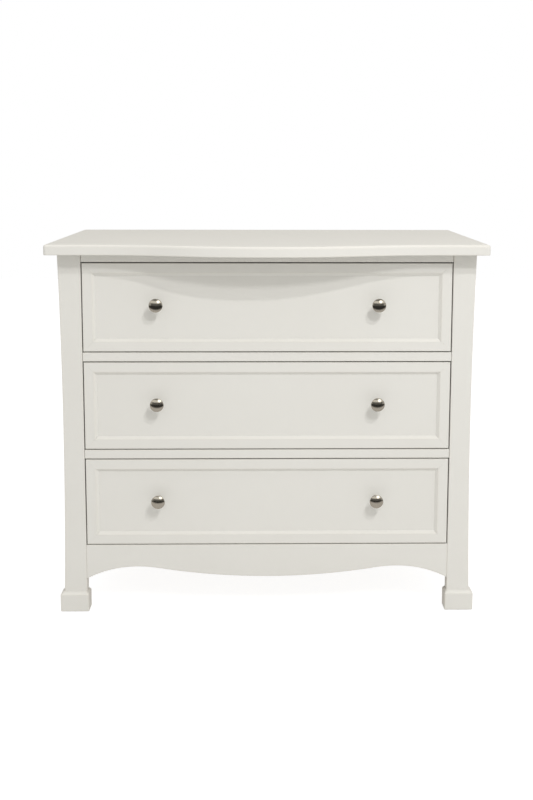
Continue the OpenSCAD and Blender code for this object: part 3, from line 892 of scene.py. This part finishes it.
# %% Frames of the three drawer fronts
for row in ROWS:
    low, high = (np.array(v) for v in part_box(f"{row}_front_rails"))
    width, thickness, height = high - low
    profile = moulding_profile(thickness)
    rails = [member_stack(profile, width, low, X, Z),
             member_stack(profile, width, low + height * Z, X, -Z)]
    stiles = [member_stack(profile, height, low, Z, X),
              member_stack(profile, height, low + width * X, Z, -X)]
    for name, members in (("front_rails", rails), ("front_stiles", stiles)):
        piece = mesh_piece(f"painted_{row}_{name}", members, PAINT)
        stands_for(piece, f"{row}_drawer", "painted_wood", f"{row}_{name}")
print("drawer front", round(width, 4), "by", round(height, 4))

# %% [markdown]
# ## The knobs
# A cast knob, turned and plated: a slim stem, a shallow waist and a low dome with a tight
# rolled rim. It is a profile turned about its screw, so each ring is a circle whose radius and
# distance from the drawer come from the profile.

# %% Turned profile
KNOB_SIDES = 96
KNOB_RIM = 1.5 * MM        # radius of the rolled rim
KNOB_CROWN = 5.5 * MM      # from the middle of the rim to the dome's crest
STEM_RADIUS = 5.4 * MM
WAIST_RADIUS = 4.4 * MM
WAIST_REACH = 10 * MM      # distance of the waist from the drawer
WAIST_ARC = 31 * MM
WAIST_TURN = math.radians(13)
ROLL_TURN = (math.radians(-55), math.radians(62))       # from under the cap to the dome
# The back of the cap from the waist outwards: (radius, distance behind the rim) in mm
KNOB_FLARE = ((5.7, 10), (6.6, 7.6), (8.2, 5.2), (10.2, 3.7))


def knob_profile(radius, height):
    """(radius, distance) pairs from the foot's middle to the dome's crest. The dome is part
    of a sphere that meets the rim's small circle."""
    rim = height - KNOB_CROWN
    foot = [(0.5 * MM, 0), (STEM_RADIUS - 0.4 * MM, 0),
            (STEM_RADIUS, 0.4 * MM), (STEM_RADIUS, 1.5 * MM)]
    waist = arc((WAIST_RADIUS + WAIST_ARC, WAIST_REACH), WAIST_ARC,
                math.pi + WAIST_TURN, math.pi - WAIST_TURN, 14).tolist()
    flare = [(out * MM, rim - behind * MM) for out, behind in KNOB_FLARE]
    under = [(radius - 3.0 * MM, rim - 2.7 * MM), (radius - 1.7 * MM, rim - 2.1 * MM)]
    roll = arc((radius - KNOB_RIM, rim), KNOB_RIM, *ROLL_TURN, 10).tolist()
    rise = height - roll[-1][1]
    dome_radius = (roll[-1][0]**2 + rise**2) / (2 * rise)
    sweep = math.asin(roll[-1][0] / dome_radius)
    dome = [(dome_radius * math.sin(a), height - dome_radius * (1 - math.cos(a)))
            for a in np.linspace(sweep, 0, 26)[1:-1]]
    return np.array(foot + waist + flare + under + roll + dome + [(0.05 * MM, height)])


def turned(profile, centre):
    """Rings about the axis that points out of the drawer, towards -Y."""
    angle = np.linspace(0, 2 * math.pi, KNOB_SIDES, endpoint=False)
    radius, reach = profile[:, 0][:, None], profile[:, 1][:, None]
    return np.stack([centre[0] + radius * np.cos(angle), centre[1] - reach + 0 * angle,
                     centre[2] + radius * np.sin(angle)], -1)


for row in ROWS:
    for side in SIDES:
        low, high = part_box(f"{row}_knob_{side}")
        centre = ((low.x + high.x) / 2, high.y, (low.z + high.z) / 2)
        points = turned(knob_profile((high.x - low.x) / 2, high.y - low.y), centre)
        stack = (points, np.zeros(points.shape[:2]))
        knob = mesh_piece(f"nickel_{row}_knob_{side}", [stack], NICKEL)
        stands_for(knob, f"{row}_drawer", "nickel", f"{row}_knob_{side}")
print("knob diameter", round(high.x - low.x, 4), "height", round(high.y - low.y, 4))

# %% [markdown]
# ## Floor and light
# A white studio: a pale floor, soft light from all round that is a little stronger from the right and
# from above, and two lamps high on the right, the smaller one higher still. Their two shadows overlap
# below the bow. What the metal and the satin mirror is painted, apart from what lights them, much as
# a studio would hang black and white sheets: a painted reflection of a dark room at eye height, with
# a pale band above it, pale walls at the sides, a bright painted highlight in front on the right that
# stands for the lamps, a dim patch behind the chest and a bright roof.


# %% Floor
FLOOR_HALF = 6.0           # half the side of the floor sheet, in metres


def floor_material():
    """Three floors in one, picked by the kind of ray. Bounced light meets a plain pale one. The
    camera sees a nearly white one that still takes a little shadow. Reflections show a painted floor
    reflection instead: a glow that is bright near the chest and fades into the dark in front of it."""
    material = bpy.data.materials.new("studio_floor")
    material.use_nodes = True
    tree = material.node_tree
    tree.nodes.clear()
    ray = node(tree, "ShaderNodeLightPath", (0, 300))
    plain = node(tree, "ShaderNodeBsdfDiffuse", (0, 0), Color=(0.78, 0.78, 0.77, 1))
    shaded = node(tree, "ShaderNodeBsdfDiffuse", (0, -200), Color=(0.30, 0.30, 0.30, 1))
    glow = node(tree, "ShaderNodeEmission", (0, -350), Color=(1, 1, 1, 1), Strength=0.90)
    seen = node(tree, "ShaderNodeAddShader", (200, -200))
    for slot, part in enumerate((shaded, glow)):
        tree.links.new(part.outputs[0], seen.inputs[slot])
    place = node(tree, "ShaderNodeTexCoord", (-800, -600))
    axes = node(tree, "ShaderNodeSeparateXYZ", (-600, -600), Vector=place.outputs["Object"])
    # Painted floor reflection: a glow that only glossy rays see, bright near the chest and dark
    # further out.
    near = ramp(tree, axes.outputs["Y"], (-400, -600), -1.05, -0.70, 0.04, 0.60)
    mirrored = node(tree, "ShaderNodeEmission", (0, -600), Color=(1.0, 0.94, 0.85, 1), Strength=near)
    lit = mix_shaders(tree, ray.outputs["Is Camera Ray"], plain.outputs[0], seen.outputs[0], (400, 0))
    shown = mix_shaders(tree, ray.outputs["Is Glossy Ray"], lit, mirrored.outputs[0], (600, -200))
    node(tree, "ShaderNodeOutputMaterial", (800, 0), Surface=shown)
    return material


floor_mesh = bpy.data.meshes.new("floor")
corners = [(x * FLOOR_HALF, y * FLOOR_HALF, 0) for x, y in ((-1, -1), (1, -1), (1, 1), (-1, 1))]
floor_mesh.from_pydata(corners, [], [(0, 1, 2, 3)])
floor_mesh.materials.append(floor_material())
floor = bpy.data.objects.new("floor", floor_mesh)
bpy.context.scene.collection.objects.link(floor)
print("floor", 2 * FLOOR_HALF, "m square")

# %% Room light
PAINTED_HIGHLIGHT_HEADING = Vector((0.33, -0.80, 0.50)).normalized()     # which way the painted highlight lies


def painted_reflection_strength(tree, heading, axes):
    """Brightness of the painted reflection of the room by direction, which only glossy rays see. Z is
    the sine of the angle above level, so the painted pale band lies between about 16 and 38 degrees
    up and the painted roof starts at about 60. Y is negative in front of the chest."""
    # Everything below is painted reflection: bands of brightness that glossy rays see and that light
    # nothing.
    level_up = axes.outputs["Z"]
    rise = ramp(tree, level_up, (-800, -100), 0.22, 0.32, 0.15, 0.95)
    fall = ramp(tree, level_up, (-800, -350), 0.56, 0.66, 1.0, 0.20)
    painted_pale_band = math_node(tree, "MULTIPLY", rise, fall, (-600, -200))
    aside = math_node(tree, "ABSOLUTE", axes.outputs["X"], None, (-1000, -800))
    painted_sides = ramp(tree, aside, (-800, -850), 0.66, 0.80, 0.0, 0.55)
    room = math_node(tree, "MAXIMUM", painted_pale_band, painted_sides, (-450, -200))
    toward = node(tree, "ShaderNodeVectorMath", (-1000, -1050), operation="DOT_PRODUCT")
    toward.inputs[1].default_value = PAINTED_HIGHLIGHT_HEADING
    tree.links.new(heading, toward.inputs[0])
    # Painted highlight: a bright spot in the reflections only, standing for the lamps, which
    # reflections don't see.
    painted_highlight = ramp(tree, toward.outputs["Value"], (-800, -1050), 0.960, 0.990, 0.0, 2.2)
    room = math_node(tree, "ADD", room, painted_highlight, (-450, -400))
    painted_back_patch = ramp(tree, axes.outputs["Y"], (-800, -600), -0.10, 0.15, 0.0, 0.26)
    room = math_node(tree, "MAXIMUM", room, painted_back_patch, (-300, -300))
    painted_roof = ramp(tree, level_up, (-800, -1300), 0.80, 0.92, 0.0, 1.6)
    return math_node(tree, "MAXIMUM", room, painted_roof, (-150, -300))


def light_room():
    """Three rooms in one, picked by the kind of ray: the soft light, the painted reflection of a room
    for glossy rays, and plain white behind the chest for the camera."""
    world = bpy.data.worlds.new("studio")
    bpy.context.scene.world = world
    world.use_nodes = True
    tree = world.node_tree
    tree.nodes.clear()
    ray = node(tree, "ShaderNodeLightPath", (-200, 400))
    heading = node(tree, "ShaderNodeTexCoord", (-1200, -200)).outputs["Generated"]
    axes = node(tree, "ShaderNodeSeparateXYZ", (-1000, -200), Vector=heading)
    lean = ramp(tree, axes.outputs["X"], (-500, 250), -1.0, 1.0, 0.50, 0.72)
    lift = ramp(tree, axes.outputs["Z"], (-500, 450), 0.0, 1.0, 0.0, 0.25)
    soft = node(tree, "ShaderNodeBackground", (0, 100), Color=(1.0, 0.985, 0.955, 1),
                Strength=math_node(tree, "ADD", lean, lift, (-250, 300)))
    mirrored = node(tree, "ShaderNodeBackground", (0, -50), Color=(0.98, 0.94, 0.85, 1),
                    Strength=painted_reflection_strength(tree, heading, axes))
    white = node(tree, "ShaderNodeBackground", (0, -200), Color=(1, 1, 1, 1), Strength=1.0)
    # Glossy rays see the painted reflection of the room in place of the soft light.
    lit = mix_shaders(tree, ray.outputs["Is Glossy Ray"],
                      soft.outputs[0], mirrored.outputs[0], (300, 100))
    shown = mix_shaders(tree, ray.outputs["Is Camera Ray"], lit, white.outputs[0], (550, 0))
    node(tree, "ShaderNodeOutputWorld", (800, 0), Surface=shown)
    return world


print("room:", len(light_room().node_tree.nodes), "nodes")


# %% Lamps
def lamp(name, place, aim, size, power):
    """A square softbox at a place in the room, size metres wide and power watts strong, and turned to
    face what it is aimed at. It isn't mirrored itself: the painted highlight in the painted
    reflection of the room stands for it in reflections."""
    data = bpy.data.lights.new(name, "AREA")
    data.shape = "SQUARE"
    data.size = size
    data.energy = power
    made = bpy.data.objects.new(name, data)
    bpy.context.scene.collection.objects.link(made)
    made.location = place
    direction = Vector(place) - Vector(aim)
    made.rotation_euler = direction.to_track_quat("Z", "Y").to_euler()
    made.visible_glossy = False
    return made


chest_front = (0.0, top_low.y, cad_high[2] * 0.6)
lamp("key_softbox", (0.72, -2.21, 2.31), chest_front, size=0.22, power=15.3)
lamp("second_softbox", (1.02, -2.21, 2.90), chest_front, size=0.09, power=19)
# The standard view shows the colours as they are lit, with no film curve over them.
bpy.context.scene.view_settings.view_transform = "Standard"
bpy.context.scene.view_settings.look = "None"
